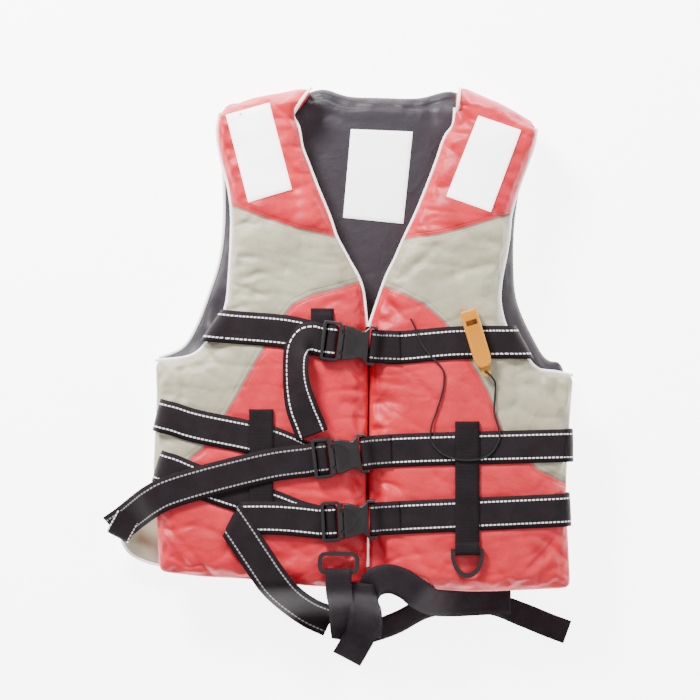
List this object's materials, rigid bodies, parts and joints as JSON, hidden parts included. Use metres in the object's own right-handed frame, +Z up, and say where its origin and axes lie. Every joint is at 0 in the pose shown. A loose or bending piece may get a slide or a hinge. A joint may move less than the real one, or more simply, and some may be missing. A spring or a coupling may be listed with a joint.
{
  "type": "life jacket",
  "caption": "Foam-filled vest life jacket lying buckled on its back, with webbing belts, side-release buckles, whistle on a cord, D-ring and crotch straps.",
  "frame": {"origin": "on the floor-side face of the back panel, about the middle of the jacket, where it rests", "axes": "+Z up from the back panel to the front panels, +Y towards the neck, +X towards the wearer's left side (the right side seen from the front)"},
  "size_m": [0.551, 0.6745, 0.101],
  "materials": {
    "red_nylon": "matte",
    "khaki_nylon": "matte",
    "lining": "satin",
    "foam": "matte",
    "white_trim": "matte",
    "reflective": "satin",
    "webbing": "matte",
    "cord": "matte",
    "black_plastic": "satin",
    "whistle_plastic": "satin"
  },
  "bodies": {
    "jacket": {"front_left_yoke": "red_nylon", "front_left_chest": "khaki_nylon", "front_left_lower": "red_nylon", "front_left_lining": "lining", "front_left_foam": "foam", "front_right_yoke": "red_nylon", "front_right_chest": "khaki_nylon", "front_right_lower": "red_nylon", "front_right_lining": "lining", "front_right_foam": "foam", "back_cover": "khaki_nylon", "back_lining": "lining", "back_foam": "foam", "shoulder_left": "red_nylon", "shoulder_right": "red_nylon", "piping_neck_left": "white_trim", "piping_neck_right": "white_trim", "piping_arm_left": "white_trim", "piping_arm_right": "white_trim", "reflective_patch_left": "reflective", "reflective_patch_right": "reflective", "neck_label": "white_trim", "belt_top_left": "webbing", "belt_middle_left": "webbing", "belt_bottom_left": "webbing", "belt_top_right": "webbing", "belt_middle_right": "webbing", "belt_bottom_right": "webbing", "keeper_top_left": "webbing", "keeper_left": "webbing", "keeper_right": "webbing", "buckle_top_female": "black_plastic", "buckle_middle_female": "black_plastic", "buckle_bottom_female": "black_plastic", "whistle_lanyard": "cord", "crotch_strap_hanging": "webbing", "crotch_strap_upper": "webbing", "crotch_strap_lower": "red_nylon"},
    "top_male": {"buckle_top_male": "black_plastic", "tail_top": "webbing"},
    "top_prong_a": {"buckle_top_prong_a": "black_plastic"},
    "top_prong_b": {"buckle_top_prong_b": "black_plastic"},
    "middle_male": {"buckle_middle_male": "black_plastic", "tail_middle": "webbing"},
    "middle_prong_a": {"buckle_middle_prong_a": "black_plastic"},
    "middle_prong_b": {"buckle_middle_prong_b": "black_plastic"},
    "bottom_male": {"buckle_bottom_male": "black_plastic", "tail_bottom": "webbing"},
    "bottom_prong_a": {"buckle_bottom_prong_a": "black_plastic"},
    "bottom_prong_b": {"buckle_bottom_prong_b": "black_plastic"},
    "d_ring_body": {"d_ring": "black_plastic"},
    "whistle_body": {"whistle": "whistle_plastic"},
    "crotch_ring_body": {"crotch_ring": "black_plastic"}
  },
  "joints": [
    {"name": "top_release", "type": "slide", "parent": "jacket", "child": "top_male", "axis": [-0.9925, 0.1219, 0], "range_m": [0, 0.032]},
    {"name": "top_prong_a_squeeze", "type": "hinge", "parent": "top_male", "child": "top_prong_a", "pos_m": [-0.02399, 0.0087, 0.0935], "axis": [0, 0, -1], "range_deg": [0, 7], "stiffness_Nm_per_rad": 0.4},
    {"name": "top_prong_b_squeeze", "type": "hinge", "parent": "top_male", "child": "top_prong_b", "pos_m": [-0.02691, -0.01512, 0.0935], "axis": [0, 0, 1], "range_deg": [0, 7], "stiffness_Nm_per_rad": 0.4},
    {"name": "middle_release", "type": "slide", "parent": "jacket", "child": "middle_male", "axis": [-0.9925, -0.1219, 0], "range_m": [0, 0.032]},
    {"name": "middle_prong_a_squeeze", "type": "hinge", "parent": "middle_male", "child": "middle_prong_a", "pos_m": [-0.03691, -0.12288, 0.0935], "axis": [0, 0, -1], "range_deg": [0, 7], "stiffness_Nm_per_rad": 0.4},
    {"name": "middle_prong_b_squeeze", "type": "hinge", "parent": "middle_male", "child": "middle_prong_b", "pos_m": [-0.03399, -0.1467, 0.0935], "axis": [0, 0, 1], "range_deg": [0, 7], "stiffness_Nm_per_rad": 0.4},
    {"name": "bottom_release", "type": "slide", "parent": "jacket", "child": "bottom_male", "axis": [-0.9986, -0.0523, 0], "range_m": [0, 0.032]},
    {"name": "bottom_prong_a_squeeze", "type": "hinge", "parent": "bottom_male", "child": "bottom_prong_a", "pos_m": [-0.02612, -0.19636, 0.0935], "axis": [0, 0, -1], "range_deg": [0, 7], "stiffness_Nm_per_rad": 0.4},
    {"name": "bottom_prong_b_squeeze", "type": "hinge", "parent": "bottom_male", "child": "bottom_prong_b", "pos_m": [-0.02486, -0.22032, 0.0935], "axis": [0, 0, 1], "range_deg": [0, 7], "stiffness_Nm_per_rad": 0.4},
    {"name": "d_ring_swing", "type": "hinge", "parent": "jacket", "child": "d_ring_body", "pos_m": [0.118, -0.243, 0.0906], "axis": [-1, 0, 0], "range_deg": [0, 110]},
    {"name": "whistle_swing", "type": "hinge", "parent": "jacket", "child": "whistle_body", "pos_m": [0.1395, -0.037, 0.0945], "axis": [0, 0, 1], "range_deg": [-15, 15]},
    {"name": "crotch_ring_swing", "type": "hinge", "parent": "jacket", "child": "crotch_ring_body", "pos_m": [-0.03, -0.268, 0.0915], "axis": [1, 0, 0], "range_deg": [0, 95]}
  ]
}
